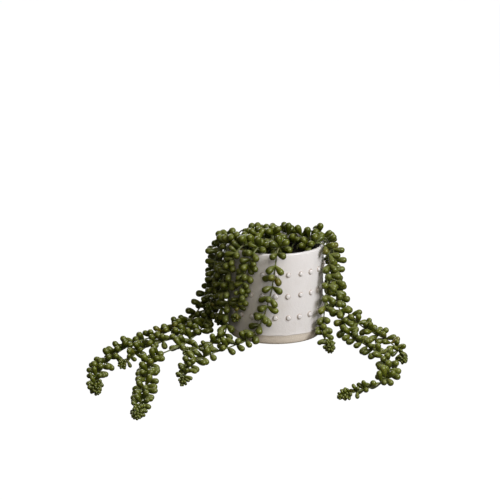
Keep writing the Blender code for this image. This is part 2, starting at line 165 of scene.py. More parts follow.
def closedFaces(rings, sides):
    # the same, with fans from both end rings to two middle points that are stored after the rings
    faces = ringFaces(rings, sides)
    count = rings * sides
    for side in range(sides):
        after = (side + 1) % sides
        faces.append((count, after, side))
        faces.append((count + 1, count - sides + side, count - sides + after))
    return faces


def arcPoints(centre, radius, start, stop, count):
    angles = np.radians(np.linspace(start, stop, count))
    return [(centre[0] + radius * math.cos(a), centre[1] + radius * math.sin(a)) for a in angles]


# The pot: thrown walls with rows of raised dots under the glaze

potShape = {
    "lipRadius": 0.0525,
    "lean": 0.0011,  # how much narrower the wall is where the glaze starts
    "wall": 0.0040,
    "innerTaper": 0.0010,  # how much narrower it gets inside, down to its floor
    "floorThick": 0.0080,
    "floorRound": 0.0050,
    "innerLow": 0.0140,  # height down to which the wall is straight inside
    "footRadius": 0.0475,  # of the flat base
    "footRound": 0.0034,
    "clayBand": 0.0100,  # bare clay below the glaze
    "glazeThick": 0.0003,
    # how the surface steps out to the glaze: outwards from the clay, upwards from the band's top
    "glazeRoll": ((0.0, -0.0030), (0.0, -0.0002), (0.0001, 0.0), (0.0003, 0.0003), (0.0004, 0.0007)),
    "glazeRise": 0.0012,  # height over which it does
    "edgeWander": 0.00035,  # how far the glaze's edge strays up and down
    "lipWander": 0.00012,
    "unevenness": 0.00016,  # of a hand-thrown wall
    "evenFoot": 0.0040,  # height below which there is none
    "dotRows": (0.0300, 0.0535, 0.0770),
    "dotsAround": 24,
    "dotRadius": 0.0029,
    "dotSizes": (0.93, 1.06),
    "dotRise": 0.0018,
    "dotDome": 0.12,  # how much of its rise is gone at one dot radius
    "dotFlank": (0.56, 1.10),  # where its top ends and its flank meets the wall, in dot radii
    "dotGroove": (0.94, 0.17),  # where the groove round it lies and how wide it is, in dot radii
    "dotStray": (0.9, 0.0004),  # how far off its place a dot may be: degrees, metres
    "dotSeed": 3,
    "dotSpread": 1.25,  # how far the fine part of the mesh reaches from a dot, in dot radii
    "fineSteps": 22,  # of the mesh across a dot
    "coarseSteps": 4,  # between two dots
}


def stepsAcross(centres, reach, low, high):
    # fine steps about each centre and coarse ones between them
    steps = []
    edge = low
    for centre in centres:
        steps += list(np.linspace(edge, centre - reach, potShape["coarseSteps"], endpoint=False))
        steps += list(np.linspace(centre - reach, centre + reach, potShape["fineSteps"], endpoint=False))
        edge = centre + reach
    return steps + list(np.linspace(edge, high, potShape["coarseSteps"], endpoint=False))


def scatterDots():
    draw = random.Random(potShape["dotSeed"])
    turn, shift = potShape["dotStray"]
    dots = []
    for height in potShape["dotRows"]:
        for number in range(potShape["dotsAround"]):
            around = math.radians(number * 360 / potShape["dotsAround"] + draw.uniform(-turn, turn))
            size = potShape["dotRadius"] * draw.uniform(*potShape["dotSizes"])
            dots.append((around, height + draw.uniform(-shift, shift), size))
    return dots


def raiseDots(around, radius, height):
    # how far each point is pushed out, and how much it lies in the groove round a dot
    rise, groove = np.zeros_like(around), np.zeros_like(around)
    topEnd, wallStart = potShape["dotFlank"]
    grooveAt, grooveWidth = potShape["dotGroove"]
    for dotAround, dotHeight, dotRadius in scatterDots():
        aside = (around - dotAround + math.pi) % math.tau - math.pi
        off = np.hypot(aside * radius, height - dotHeight) / dotRadius
        skirt = np.clip((wallStart - off) / (wallStart - topEnd), 0, 1)
        rise = np.maximum(rise, (1 - potShape["dotDome"] * off ** 2) * skirt ** 2 * (3 - 2 * skirt))
        groove = np.maximum(groove, np.exp(-((off - grooveAt) / grooveWidth) ** 2))
    return rise * potShape["dotRise"], groove


def potOutline(potHeight):
    # (radius, height) from the middle of the base, up the outside, over the lip and down to the inner floor
    lip, half = potShape["lipRadius"], potShape["wall"] / 2
    foot, turn, band = potShape["footRadius"], potShape["footRound"], potShape["clayBand"]
    dotReach = potShape["dotRadius"] * potShape["dotSpread"]
    glazeLow, lipLow = band + potShape["glazeRise"], potHeight - half
    inner, taper = lip - potShape["wall"], potShape["innerTaper"]
    floorTop, curve = potShape["floorThick"], potShape["floorRound"]
    flat = inner - taper - curve
    outside = [(lip - potShape["lean"] * (lipLow - z) / (lipLow - glazeLow), z)
               for z in stepsAcross(potShape["dotRows"], dotReach, glazeLow, lipLow)]
    clay = lip - potShape["lean"] - potShape["glazeThick"]
    return [
        *[(foot * share, 0.0) for share in (0.35, 0.7, 0.92)],
        *arcPoints((foot, turn), turn, -90, -8, 7),
        *[(clay + out, band + up) for out, up in potShape["glazeRoll"]],
        *outside,
        *arcPoints((lip - half, lipLow), half, 0, 180, 13),
        *[(inner - taper * share, lipLow - share * (lipLow - potShape["innerLow"]))
          for share in np.linspace(0.06, 1, 9)],
        *arcPoints((flat, floorTop + curve), curve, 0, -90, 6),
        *[(flat * share, floorTop) for share in (0.7, 0.35)],
    ]


def buildPot():
    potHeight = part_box("pot")[1].z
    outline = np.array(potOutline(potHeight))
    pitch = math.tau / potShape["dotsAround"]
    reach = potShape["dotRadius"] * potShape["dotSpread"] / potShape["lipRadius"]
    spare = potShape["coarseSteps"] // 2  # each dot's stretch has half of the coarse steps on either side
    steps = stepsAcross((0.0,), reach, -pitch / 2, pitch / 2)[spare:-spare]
    columns = [number * pitch + step for number in range(potShape["dotsAround"]) for step in steps]
    around, radius = np.meshgrid(np.array(columns), outline[:, 0])
    height = np.repeat(outline[:, 1:], len(columns), axis=1)
    outer = radius > potShape["lipRadius"] - potShape["wall"] / 2
    # slow waves of the wall: a few round it that change with height, and two that wind up it
    wave = (np.sin(2 * around + 0.7) * np.sin(31 * height + 0.4) + 0.6 * np.sin(5 * around + 55 * height)
            + 0.5 * np.sin(9 * around - 90 * height + 1.3))
    lifted = np.where(height > potShape["evenFoot"], potShape["unevenness"] * wave, 0.0)
    nearEdge = np.exp(-((height - potShape["clayBand"]) / potShape["glazeRise"]) ** 2) * outer
    wander = np.sin(7 * around) + np.sin(12 * around + 2) + 0.7 * np.sin(23 * around)
    height = height + nearEdge * potShape["edgeWander"] * wander
    nearLip = height > potHeight - potShape["wall"]
    height = height + np.where(nearLip, potShape["lipWander"] * (np.sin(3 * around) - 1), 0.0)
    rise, groove = raiseDots(around, radius, height)
    radius = radius + lifted + np.where(outer, rise, 0.0)
    points = np.stack([radius * np.sin(around), -radius * np.cos(around), height], axis=-1).reshape(-1, 3)
    points = np.vstack([points, [(0, 0, 0), (0, 0, potShape["floorThick"])]])
    faces = closedFaces(len(outline), len(columns))
    grooves = np.concatenate([np.where(outer, groove, 0.0).ravel(), [0.0, 0.0]])
    pot = makePiece("glazed_pot", points.tolist(), faces, [glazedClay()], marks={"dotGroove": grooves})
    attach(pot, "root")
    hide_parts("pot")


glazePaint = {
    "glaze": (0.800, 0.774, 0.786),
    "glazeThin": (0.715, 0.672, 0.652),  # where it runs thin, in the cloud noise's patches
    "grooveTone": (0.400, 0.320, 0.260),  # darker, in the grooves round the dots
    "clay": (0.745, 0.672, 0.590),
    "speck": (0.430, 0.360, 0.300),
    "glazeRough": 0.30,
    "clayRough": 0.85,
    # noises: scale, detail and roughness
    "cloud": (38.0, 4.0, 0.55),  # where the glaze runs thin
    "fine": (620.0, 2.0, 0.5),
    "grain": (2600.0, 2.0, 0.5),  # of the clay
    "dents": (210.0, 3.0, 0.5),
    # where another colour comes in: from which value to which, and its share at both
    "thinning": (0.42, 0.72, 0.0, 0.45),
    "speckling": (0.71, 0.80, 0.0, 0.35),
    "grooveDarkening": (0.15, 1.0, 0.0, 0.80),
    "clayGrains": (0.35, 0.70, 0.0, 0.6),
    "edge": (0.0002, 0.0016),  # heights above the clay band over which the glaze's colour sets in
    "ripple": 0.0016,  # how far the cloud noise shifts that edge
    "relief": (0.22, 0.0006),  # strength and depth of the bumps
}


def glazedClay():
    made, tree, shader = startMaterial("glazedClay")
    place = objectPlace(tree)
    height = addNode(tree, "ShaderNodeSeparateXYZ", {"Vector": place}).outputs["Z"]
    cloud = noiseIn(tree, place, *glazePaint["cloud"])
    fine = noiseIn(tree, place, *glazePaint["fine"])
    grain = noiseIn(tree, place, *glazePaint["grain"])
    groove = addNode(tree, "ShaderNodeAttribute", attribute_name="dotGroove").outputs["Fac"]
    thinning = fromTo(tree, cloud, *glazePaint["thinning"])
    coat = mixColours(tree, thinning, glazePaint["glaze"], glazePaint["glazeThin"])
    coat = mixColours(tree, fromTo(tree, fine, *glazePaint["speckling"]), coat, glazePaint["speck"])
    # darker in the grooves round the dots
    coat = mixColours(tree, fromTo(tree, groove, *glazePaint["grooveDarkening"]), coat, glazePaint["grooveTone"])
    grains = fromTo(tree, grain, *glazePaint["clayGrains"])
    clay = mixColours(tree, grains, glazePaint["clay"], glazePaint["speck"])
    ripple = addNode(tree, "ShaderNodeMath", {0: cloud, 1: glazePaint["ripple"], 2: height},
                     operation="MULTIPLY_ADD").outputs["Value"]
    glazed = fromTo(tree, ripple, *[potShape["clayBand"] + above for above in glazePaint["edge"]])
    tree.links.new(mixColours(tree, glazed, clay, coat), shader.inputs["Base Color"])
    rough = addNode(tree, "ShaderNodeMapRange", {"Value": glazed, "To Min": glazePaint["clayRough"],
                                                 "To Max": glazePaint["glazeRough"]})
    tree.links.new(rough.outputs["Result"], shader.inputs["Roughness"])
    dents = noiseIn(tree, place, *glazePaint["dents"])
    relief = addNode(tree, "ShaderNodeMath", {0: dents, 1: fine}, operation="ADD")
    bumpFrom(tree, shader, relief.outputs["Value"], *glazePaint["relief"])
    return made


# The soil: a crumbly top, a centimetre below the lip

soilShape = {
    "rings": 40,
    "sides": 150,
    "lowNarrowing": 0.86,  # radius of its bottom, against its top's
    "unevenness": 0.0016,
    "bumps": ((70, 4.2, 0.5), (330, 1.7, 0.4), (900, 8.1, 0.2)),  # scale, layer of the noise, share
    "crumbs": 260,
    "crumbKinds": 5,
    "crumbSize": (0.0006, 0.0019),
    "crumbLumps": (0.8, 0.45, 1.6),  # mean radius, and height and scale of the lumps on it
    "crumbFlatness": (0.6, 1.0),
    "crumbLift": 0.3,  # how far its middle is above the soil, in crumb sizes
    "crumbEdge": 0.0020,  # room between the crumbs and the pot
    "seed": 5,
    "dark": (0.006, 0.0045, 0.0035),
    "light": (0.022, 0.016, 0.011),
    "dry": (0.045, 0.032, 0.022),  # of single grains
    # noises, and where the colours come in, as for the glaze
    "mottle": (420.0, 6.0, 0.65),
    "grain": (1900.0, 3.0, 0.6),
    "lightening": (0.40, 0.68),
    "dryGrains": (0.60, 0.75, 0.0, 0.5),
    "rough": (0.3, 0.7, 0.98, 0.72),
    "relief": (0.8, 0.0008),
}


def soilLift(x, y):
    bumps = [share * noise.noise(Vector((x * scale, y * scale, layer)))
             for scale, layer, share in soilShape["bumps"]]
    return soilShape["unevenness"] * sum(bumps)


def crumbMesh(draw):
    # a lumpy ball: the unit points and faces of a small icosphere, pushed in and out
    shape = bmesh.new()
    bmesh.ops.create_icosphere(shape, subdivisions=2, radius=1.0)
    shift = Vector((draw.uniform(0, 50), 0, 0))
    mean, lumps, scale = soilShape["crumbLumps"]
    points = [vert.co * (mean + lumps * noise.noise(vert.co * scale + shift)) for vert in shape.verts]
    faces = [tuple(vert.index for vert in face.verts) for face in shape.faces]
    shape.free()
    return np.array(points), faces


def buildSoil():
    low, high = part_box("soil")
    radius, rings, sides = high.x, soilShape["rings"], soilShape["sides"]
    shares = np.sqrt(np.linspace(1 / rings, 1, rings))[::-1]
    circle = [(math.sin(math.tau * side / sides), -math.cos(math.tau * side / sides)) for side in range(sides)]
    lowRadius = radius * soilShape["lowNarrowing"]
    points = [(lowRadius * x, lowRadius * y, low.z) for x, y in circle]
    for share in shares:
        ring = [(radius * share * x, radius * share * y) for x, y in circle]
        points += [(x, y, high.z + soilLift(x, y)) for x, y in ring]
    points += [(0, 0, low.z), (0, 0, high.z + soilLift(0, 0))]
    faces = closedFaces(rings + 1, sides)
    draw = random.Random(soilShape["seed"])
    kinds = [crumbMesh(draw) for kind in range(soilShape["crumbKinds"])]
    for number in range(soilShape["crumbs"]):
        corners, crumbFaces = kinds[number % len(kinds)]
        size = draw.uniform(*soilShape["crumbSize"])
        away, turn = (radius - soilShape["crumbEdge"]) * math.sqrt(draw.random()), draw.uniform(0, math.tau)
        x, y = away * math.sin(turn), -away * math.cos(turn)
        centre = np.array((x, y, high.z + soilLift(x, y) + size * soilShape["crumbLift"]))
        faces += [tuple(corner + len(points) for corner in face) for face in crumbFaces]
        points += (corners * size * (1, 1, draw.uniform(*soilShape["crumbFlatness"])) + centre).tolist()
    soil = makePiece("potting_soil", points, faces, [crumblySoil()])
    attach(soil, "root")
    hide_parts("soil")


def crumblySoil():
    made, tree, shader = startMaterial("crumblySoil")
    place = objectPlace(tree)
    mottle = noiseIn(tree, place, *soilShape["mottle"])
    grain = noiseIn(tree, place, *soilShape["grain"])
    colour = mixColours(tree, fromTo(tree, mottle, *soilShape["lightening"]), soilShape["dark"], soilShape["light"])
    colour = mixColours(tree, fromTo(tree, grain, *soilShape["dryGrains"]), colour, soilShape["dry"])
    tree.links.new(colour, shader.inputs["Base Color"])
    tree.links.new(fromTo(tree, mottle, *soilShape["rough"]), shader.inputs["Roughness"])
    bumpFrom(tree, shader, grain, *soilShape["relief"])
    return made


# The plant's growth, by the rule that its solids follow, so that every built leaf is among these

growth = {
    "rootDepth": 0.009,
    "rootRise": 0.003,  # height to which a stem comes straight out of the soil
    "bareRoot": 0.006,  # length of stem above the soil with no leaves
    "sprigArch": 0.001,  # how far a sprig's middle is lifted
    "stemRadius": 0.0008,
    "stemStep": 0.002,  # between the points of a stem's way
    "curveSteps": 16,
    "lieHeight": 0.0075,  # of a stem on the surface, held up by its leaves
    "lieMargin": 0.003,  # height above that at which it still counts as lying
    "leafLength": 0.0134,
    "leafWidth": 0.0069,
    "leafSunk": 0.0005,  # how deep a leaf's neck starts in its stem
    "leafBalls": ((0.25, 0.34), (0.44, 0.44), (0.62, 0.51), (0.80, 0.49)),  # share of length, share of width
    "whorlStep": 0.0116,  # along the stem, from one ring of leaves to the next
    "whorlLeaves": (3, 4),
    "lieStep": 1.20,  # how much further apart the whorls are where the stem lies
    "taper": 0.065,  # length of stem before its tip on which the leaves get smaller, down to the next share
    "taperScale": 0.68,
    "hangLean": (45, 90),  # degrees between a leaf and its stem
    "lieLean": (48, 92),
    "lengthSpread": (0.90, 1.08),
    "widthSpread": (0.92, 1.08),
    "budStretch": 0.0135,  # length of the crowded bud at the tip
    "budStep": 0.0024,
    "budWhorl": 6,
    "budScale": 0.64,
    "budLean": (46, 86),
    "budSpread": 26,
    "tipScale": 0.50,
    "sprigTipScale": 0.95,
    "tries": 16,  # for each leaf, before it is left out
    "turnSpread": (10, 8),  # how many degrees it may stray round the stem, and how many more with each try
    "whorlTurn": 20,
    "stepSpread": (0.90, 1.10),
    "clearance": 0.0006,  # to the pot and to other stems with their leaves
    "crowding": 0.88,  # how close leaves of one stem may come, against just touching
    "budCrowding": 0.56,
    "dotRise": 0.0017,  # of the pot's dots in its solid
    "seed": 5,
}

# Each strand's way: where it leaves the soil, then polar points (degrees from the front, radius, height) over
# the rim and down the wall, then points (x, y) along the surface
strandRoutes = {
    "strand_front": {
        "root": (16, 0.015),
        "hang": [(8, 0.037, 0.1035), (2, 0.0530, 0.1055), (0, 0.0595, 0.096), (-2, 0.0600, 0.080),
                 (-4.5, 0.0600, 0.063), (-8.5, 0.0600, 0.047), (-13, 0.0605, 0.032), (-20, 0.0620, 0.018)],
        "lie": [(-0.034, -0.064), (-0.051, -0.085), (-0.067, -0.104), (-0.079, -0.122), (-0.088, -0.142),
                (-0.092, -0.167), (-0.094, -0.191)],
    },
    "strand_front_left": {
        "root": (-20, 0.026),
        "hang": [(-22, 0.041, 0.1030), (-23, 0.0535, 0.1045), (-27, 0.0600, 0.094), (-32, 0.0605, 0.080),
                 (-36, 0.0605, 0.065), (-39, 0.0605, 0.050), (-42, 0.0605, 0.037), (-44, 0.0610, 0.028)],
        "lie": [],
    },
    "strand_left_near": {
        "root": (-34, 0.018),
        "hang": [(-40, 0.041, 0.1045), (-42, 0.0540, 0.1055), (-46, 0.0610, 0.095), (-50, 0.0630, 0.080),
                 (-52, 0.0630, 0.062), (-53, 0.0630, 0.045), (-54, 0.0635, 0.030), (-53, 0.0660, 0.015)],
        "lie": [(-0.056, -0.050), (-0.064, -0.066), (-0.073, -0.079), (-0.084, -0.090), (-0.093, -0.103)],
    },
    "strand_left_short": {
        "root": (-62, 0.031),
        "hang": [(-62, 0.043, 0.1030), (-63, 0.0535, 0.1040), (-64, 0.0600, 0.094), (-66, 0.0610, 0.078),
                 (-67, 0.0610, 0.060), (-68, 0.0610, 0.043), (-70, 0.0620, 0.028), (-72, 0.0640, 0.017)],
        "lie": [],
    },
    "strand_left_outer": {
        "root": (-60, 0.012),
        "hang": [(-66, 0.040, 0.1030), (-72, 0.0535, 0.1035), (-75, 0.0635, 0.095), (-78, 0.0665, 0.080),
                 (-80, 0.0680, 0.062), (-81, 0.0695, 0.044), (-80, 0.0725, 0.028)],
        "lie": [],
    },
    "strand_left_long": {
        "root": (-84, 0.024),
        "hang": [(-86, 0.040, 0.1020), (-89, 0.0535, 0.1030), (-92, 0.0605, 0.094), (-94, 0.0640, 0.078),
                 (-95, 0.0655, 0.056), (-92, 0.0685, 0.034), (-85, 0.0755, 0.015)],
        "lie": [(-0.083, -0.033), (-0.091, -0.056), (-0.099, -0.077), (-0.111, -0.093), (-0.124, -0.114),
                (-0.130, -0.141), (-0.130, -0.175), (-0.130, -0.213), (-0.131, -0.252), (-0.134, -0.291)],
        "bare": (0.184, 0.212),  # a stretch with no leaves, between two distances from the tip
    },
    "strand_left_middle": {
        "root": (-104, 0.033),
        "hang": [(-104, 0.044, 0.1020), (-105, 0.0535, 0.1030), (-107, 0.0595, 0.094), (-109, 0.0615, 0.076),
                 (-109, 0.0640, 0.054), (-105, 0.0700, 0.032), (-99, 0.0790, 0.014)],
        "lie": [(-0.089, -0.016), (-0.098, -0.036), (-0.110, -0.053), (-0.125, -0.067), (-0.139, -0.087),
                (-0.149, -0.114), (-0.157, -0.141)],
        "bare": (0.266, 0.286),
    },
    "strand_left_far": {
        "root": (-118, 0.024),
        "hang": [(-118, 0.041, 0.1018), (-120, 0.0535, 0.1026), (-119, 0.0600, 0.094), (-117, 0.0635, 0.079),
                 (-114, 0.0710, 0.058), (-110, 0.0780, 0.036), (-104, 0.0870, 0.017)],
        "lie": [(-0.096, 0.006), (-0.109, -0.018), (-0.126, -0.041), (-0.145, -0.062), (-0.161, -0.092),
                (-0.171, -0.121), (-0.179, -0.156), (-0.181, -0.190), (-0.177, -0.221)],
        "bare": (0.366, 0.384),
    },
    "strand_right_near": {
        "root": (69, 0.036),
        "hang": [(68, 0.0440, 0.1020), (68, 0.0535, 0.1032), (70, 0.0600, 0.095), (71, 0.0610, 0.079),
                 (67, 0.0605, 0.062), (62, 0.0605, 0.044), (60, 0.0600, 0.027), (58, 0.0610, 0.013)],
        "lie": [(0.052, -0.050), (0.054, -0.069), (0.057, -0.087)],
    },
    "strand_right_long": {
        "root": (86, 0.034),
        "hang": [(85, 0.0435, 0.1020), (84, 0.0535, 0.1032), (84, 0.0615, 0.095), (86, 0.0640, 0.078),
                 (86, 0.0650, 0.058), (81, 0.0680, 0.036), (73, 0.0780, 0.015)],
        "lie": [(0.081, -0.046), (0.091, -0.067), (0.101, -0.091), (0.110, -0.114), (0.1135, -0.143),
                (0.111, -0.173), (0.101, -0.199), (0.084, -0.217), (0.061, -0.235)],
    },
    "strand_right_short": {
        "root": (98, 0.035),
        "hang": [(98, 0.044, 0.1020), (98, 0.0535, 0.1032), (99, 0.0600, 0.095), (101, 0.0615, 0.084),
                 (102, 0.0620, 0.072)],
        "lie": [],
    },
    "strand_right_far": {
        "root": (114, 0.027),
        "hang": [(114, 0.042, 0.1020), (114, 0.0535, 0.1032), (113, 0.0605, 0.094), (111, 0.0630, 0.080),
                 (108, 0.0650, 0.058), (102, 0.0700, 0.036), (93, 0.0810, 0.017)],
        "lie": [(0.096, -0.013), (0.107, -0.035), (0.117, -0.056), (0.126, -0.086), (0.130, -0.123)],
    },
    "strand_back_right": {
        "root": (128, 0.031),
        "hang": [(130, 0.043, 0.1020), (131, 0.0535, 0.1030), (133, 0.0605, 0.094), (135, 0.0620, 0.077),
                 (136, 0.0620, 0.056), (137, 0.0635, 0.036), (137, 0.0690, 0.018)],
        "lie": [(0.052, 0.062), (0.056, 0.078)],
        "bare": (0.118, 0.136),
    },
    "strand_back_middle": {
        "root": (160, 0.028),
        "hang": [(160, 0.042, 0.1016), (161, 0.0535, 0.1028), (163, 0.0605, 0.094), (165, 0.0615, 0.076),
                 (167, 0.0615, 0.058), (169, 0.0610, 0.042), (171, 0.0610, 0.029)],
        "lie": [],
        "bare": (0.068, 0.088),
    },
    "strand_back_far": {
        "root": (190, 0.030),
        "hang": [(191, 0.043, 0.1016), (192, 0.0535, 0.1028), (194, 0.0610, 0.094), (196, 0.0630, 0.076),
                 (198, 0.0635, 0.056), (200, 0.0645, 0.037), (203, 0.0690, 0.018)],
        "lie": [(-0.034, 0.078), (-0.044, 0.096)],
        "bare": (0.122, 0.138),
    },
    "strand_back_left": {
        "root": (222, 0.030),
        "hang": [(222, 0.043, 0.1016), (222, 0.0535, 0.1028), (224, 0.0605, 0.094), (226, 0.0620, 0.077),
                 (225, 0.0615, 0.060), (225, 0.0610, 0.046), (226, 0.0610, 0.035)],
        "lie": [],
        "bare": (0.062, 0.080),
    },
}

# Short upright sprigs in the mouth: (degrees, radius) of the root, then of the top, and its height
sprigRoutes = {
    "sprig_middle": ((-150, 0.004), (-160, 0.008), 0.106),
    "sprig_front": ((-20, 0.016), (-14, 0.026), 0.101),
    "sprig_right": ((128, 0.024), (122, 0.035), 0.103),
    "sprig_back_right": ((150, 0.017), (149, 0.029), 0.103),
    "sprig_back": ((184, 0.011), (180, 0.020), 0.103),
    "sprig_back_left": ((222, 0.013), (218, 0.025), 0.103),
    "sprig_left": ((-96, 0.009), (-92, 0.020), 0.106),
}

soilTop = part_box("soil")[1].z
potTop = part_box("pot")[1].z


def polar(degrees, radius, height):
    angle = math.radians(degrees)
    return (radius * math.sin(angle), -radius * math.cos(angle), height)


def rooted(degrees, radius):
    depth = growth["rootDepth"]
    return [polar(degrees, radius, soilTop + rise) for rise in (-depth, -depth / 2, 0.0, growth["rootRise"])]


def strandPoints(route):
    points = rooted(*route["root"]) + [polar(*place) for place in route["hang"]]
    return points + [(x, y, growth["lieHeight"]) for x, y in route["lie"]]


def sprigPoints(root, top, height):
    low = rooted(*root)
    end = polar(*top, height)
    halfway = [(a + b) / 2 for a, b in zip(low[-1], end)]
    return low + [(halfway[0], halfway[1], halfway[2] + growth["sprigArch"]), end]


def stemWay(points):
    # even points along a smooth curve through the given ones
    given = np.array(points)
    ends = np.vstack([2 * given[0] - given[1], given, 2 * given[-1] - given[-2]])
    smooth = []
    for before, start, stop, after in zip(ends, ends[1:], ends[2:], ends[3:]):
        for t in np.linspace(0, 1, growth["curveSteps"], endpoint=False):
            smooth.append(0.5 * (2 * start + (stop - before) * t
                                 + (2 * before - 5 * start + 4 * stop - after) * t ** 2
                                 + (3 * start - before - 3 * stop + after) * t ** 3))
    smooth = np.array(smooth + [given[-1]])
    smooth[:, 2] = np.maximum(smooth[:, 2], growth["lieHeight"])
    along = np.concatenate([[0], np.cumsum(np.linalg.norm(np.diff(smooth, axis=0), axis=1))])
    even = np.linspace(0, along[-1], round(along[-1] / growth["stemStep"]) + 1)
    return np.stack([np.interp(even, along, smooth[:, axis]) for axis in range(3)], axis=1)


def placeOn(way, along):
    lengths = np.linalg.norm(np.diff(way, axis=0), axis=1)
    passed = np.concatenate([[0], np.cumsum(lengths)])
    piece = int(min(np.searchsorted(passed, along, side="right") - 1, len(lengths) - 1))
    direction = (way[piece + 1] - way[piece]) / lengths[piece]
    return way[piece] + direction * (along - passed[piece]), direction


def across(direction):
    # two directions at right angles to a given one, the first of them level unless that one is nearly upright
    side = np.cross(direction, (0.0, 0.0, 1.0) if abs(direction[2]) < 0.9 else (0.0, 1.0, 0.0))
    side /= np.linalg.norm(side)
    return side, np.cross(side, direction)


def leafBalls(leaf):
    # balls that fill a leaf, for telling what it would touch
    base, direction, length, width = leaf
    shares, sizes = np.array(growth["leafBalls"]).T
    return base + np.outer(shares * length, direction), sizes * width


def clearOfPot(centres, radii):
    gap = growth["clearance"]
    out = np.hypot(centres[:, 0], centres[:, 1])
    low = centres[:, 2] - radii
    inside = out + radii < potShape["lipRadius"] - potShape["wall"] - gap
    outside = out - radii > potShape["lipRadius"] + growth["dotRise"] + gap
    aboveRim = low > potTop + gap
    aboveSoil = (low > soilTop + gap) | (out > potShape["lipRadius"])
    return bool(((inside | outside | aboveRim) & aboveSoil & (low > gap)).all())


class Space:
    # what is already there: balls along every stem and in every leaf, each with its owner's number
    def __init__(self):
        self.centres = np.zeros((0, 3))
        self.radii = np.zeros(0)
        self.owners = np.zeros(0, int)

    def add(self, centres, radii, owner):
        self.centres = np.vstack([self.centres, centres])
        self.radii = np.concatenate([self.radii, radii])
        self.owners = np.concatenate([self.owners, np.full(len(radii), owner)])

    def admits(self, centres, radii, owner, crowding):
        own = self.owners == owner
        for number, (centre, radius) in enumerate(zip(centres, radii)):
            apart = np.linalg.norm(self.centres - centre, axis=1)
            reach = self.radii + radius
            ownReach = reach * (crowding if number else 0.0)
            if (apart < np.where(own, ownReach, reach + growth["clearance"])).any():
                return False
        return True


def leafScale(toEnd, budding):
    stretch = growth["budStretch"]
    if budding:
        return growth["tipScale"] + (growth["budScale"] - growth["tipScale"]) * toEnd / stretch
    start = growth["taperScale"]
    return min(1.0, start + (1 - start) * (toEnd - stretch) / (growth["taper"] - stretch))


def growLeaves(way, bare, hasBuds, owner, space, draw):
    # the leaves of one stem, each as (base, direction, length, width)
    total = np.linalg.norm(np.diff(way, axis=0), axis=1).sum()
    along = growth["rootDepth"] + growth["bareRoot"]
    turn = draw.uniform(0, 360)
    leaves = []
    while along < total:
        toEnd = total - along
        if bare[0] < toEnd < bare[1]:
            along += growth["whorlStep"]
            continue
        budding = hasBuds and toEnd < growth["budStretch"]
        scale = leafScale(toEnd, budding) if hasBuds else 1.0
        base, forward = placeOn(way, along)
        side, up = across(forward)
        count = growth["budWhorl"] if budding else draw.choice(growth["whorlLeaves"])
        atTip, atStart = growth["budLean"]
        lying = base[2] < growth["lieHeight"] + growth["lieMargin"]
        least, most = growth["lieLean" if lying else "hangLean"]
        if budding:
            most = atTip + (atStart - atTip) * toEnd / growth["budStretch"]
            least = most - growth["budSpread"]
        crowding = growth["budCrowding"] if budding else growth["crowding"]
        for number in range(count):
            for attempt in range(growth["tries"]):
                stray = growth["turnSpread"][0] + growth["turnSpread"][1] * attempt
                azimuth = math.radians(turn + number * 360 / count + draw.uniform(-stray, stray))
                lean = math.radians(draw.uniform(least, most))
                length = growth["leafLength"] * scale * draw.uniform(*growth["lengthSpread"])
                width = growth["leafWidth"] * scale * draw.uniform(*growth["widthSpread"])
                outward = math.cos(azimuth) * side + math.sin(azimuth) * up
                leaf = (base, math.cos(lean) * forward + math.sin(lean) * outward, length, width)
                centres, radii = leafBalls(leaf)
                if clearOfPot(centres, radii) and space.admits(centres, radii, owner, crowding):
                    space.add(centres[1:], radii[1:], owner)
                    leaves.append(leaf)
                    break
        turn += 180 / count + draw.uniform(-growth["whorlTurn"], growth["whorlTurn"])
        step = growth["whorlStep"] * scale * (growth["lieStep"] if lying else 1.0)
        along += draw.uniform(*growth["stepSpread"]) * (growth["budStep"] if budding else step)
    base, forward = placeOn(way, total - growth["stemRadius"])
    scale = growth["tipScale"] if hasBuds else growth["sprigTipScale"]
    leaves.append((base, forward, growth["leafLength"] * scale, growth["leafWidth"] * scale))
    return leaves


def growPlant():
    ways = {name: stemWay(strandPoints(route)) for name, route in strandRoutes.items()}
    ways.update({name: stemWay(sprigPoints(*route)) for name, route in sprigRoutes.items()})
    space = Space()
    for owner, way in enumerate(ways.values()):
        space.add(way, np.full(len(way), growth["stemRadius"]), owner)
    draw = random.Random(growth["seed"])
    plant = {}
    for owner, (name, way) in enumerate(ways.items()):
        bare = strandRoutes.get(name, {}).get("bare", (0.0, 0.0))
        plant[name] = (way, growLeaves(way, bare, name in strandRoutes, owner, space, draw))
    return plant, space


# More short sprigs, which fill the mouth between those of the solids

crownSprigs = {
    "routes": [
        ((-60, 0.020), (-58, 0.033), 0.103),
        ((166, 0.028), (166, 0.038), 0.103),
        ((205, 0.024), (206, 0.037), 0.104),
    ],
    "seed": 11,
}


def growCrown(plant, space):
    draw = random.Random(crownSprigs["seed"])
    firstOwner = len(plant)
    for number, route in enumerate(crownSprigs["routes"]):
        way = stemWay(sprigPoints(*route))
        space.add(way, np.full(len(way), growth["stemRadius"]), firstOwner + number)
        leaves = growLeaves(way, (0.0, 0.0), False, firstOwner + number, space, draw)
        plant[f"crown_{number + 1}"] = (way, leaves)


# More leaves on the strands that hang thickest, in the gaps that the solids' rule leaves

thickStrands = {
    "names": ("strand_left_near", "strand_front_left"),
    "stretch": (0.046, 0.110),  # where they grow, in length of stem from its root
    "attempts": 240,  # on each strand
    "lean": (50, 95),
    "size": (0.80, 0.98),
    "crowding": 0.76,
    "outMost": 0.80,  # how much of a leaf's length may lead straight away from the pot
    "seed": 4,
}


